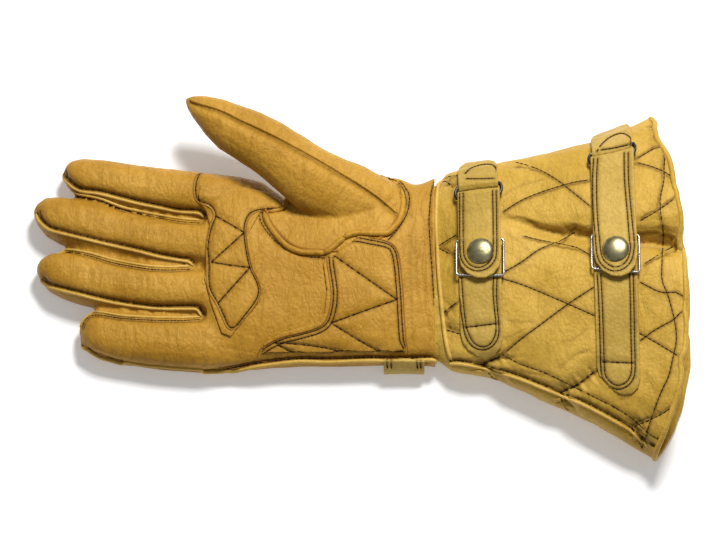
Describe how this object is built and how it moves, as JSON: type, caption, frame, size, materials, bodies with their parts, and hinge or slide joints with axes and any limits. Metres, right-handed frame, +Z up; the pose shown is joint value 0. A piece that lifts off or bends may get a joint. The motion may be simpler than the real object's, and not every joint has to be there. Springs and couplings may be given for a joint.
{
  "type": "gauntlet glove",
  "caption": "Right-hand leather gauntlet glove lying palm up, with a set-in thumb, reinforced palm, flared quilted cuff and two strap fastenings with rings, slides and snaps.",
  "frame": {"origin": "centre of the bounding box on the table, under the back of the hand", "axes": "+X from the fingertips to the cuff's mouth, +Y from the little finger to the thumb, +Z up from the back of the hand to the palm"},
  "size_m": [0.3486, 0.1986, 0.0482],
  "materials": {
    "hand_leather": "soft grain, semi-matt",
    "patch_leather": "soft grain, semi-matt",
    "cuff_leather": "soft grain, semi-matt, quilted",
    "strap_leather": "smooth, semi-matt",
    "thread": "waxed sewing thread",
    "ring_metal": "dark gunmetal",
    "slide_metal": "bright nickel",
    "snap_metal": "antique brass, brushed"
  },
  "bodies": {
    "root": {"hand_shell": "hand_leather", "thumb": "hand_leather", "knuckle_patch": "patch_leather", "heel_patch": "patch_leather", "side_loop": "strap_leather", "cuff_shell": "cuff_leather", "wrist_strap": "strap_leather", "wrist_ring_tab": "strap_leather", "wrist_ring": "ring_metal", "wrist_slide": "slide_metal", "wrist_snap": "snap_metal", "cuff_strap": "strap_leather", "cuff_ring_tab": "strap_leather", "cuff_ring": "ring_metal", "cuff_slide": "slide_metal", "cuff_snap": "snap_metal"}
  },
  "joints": []
}
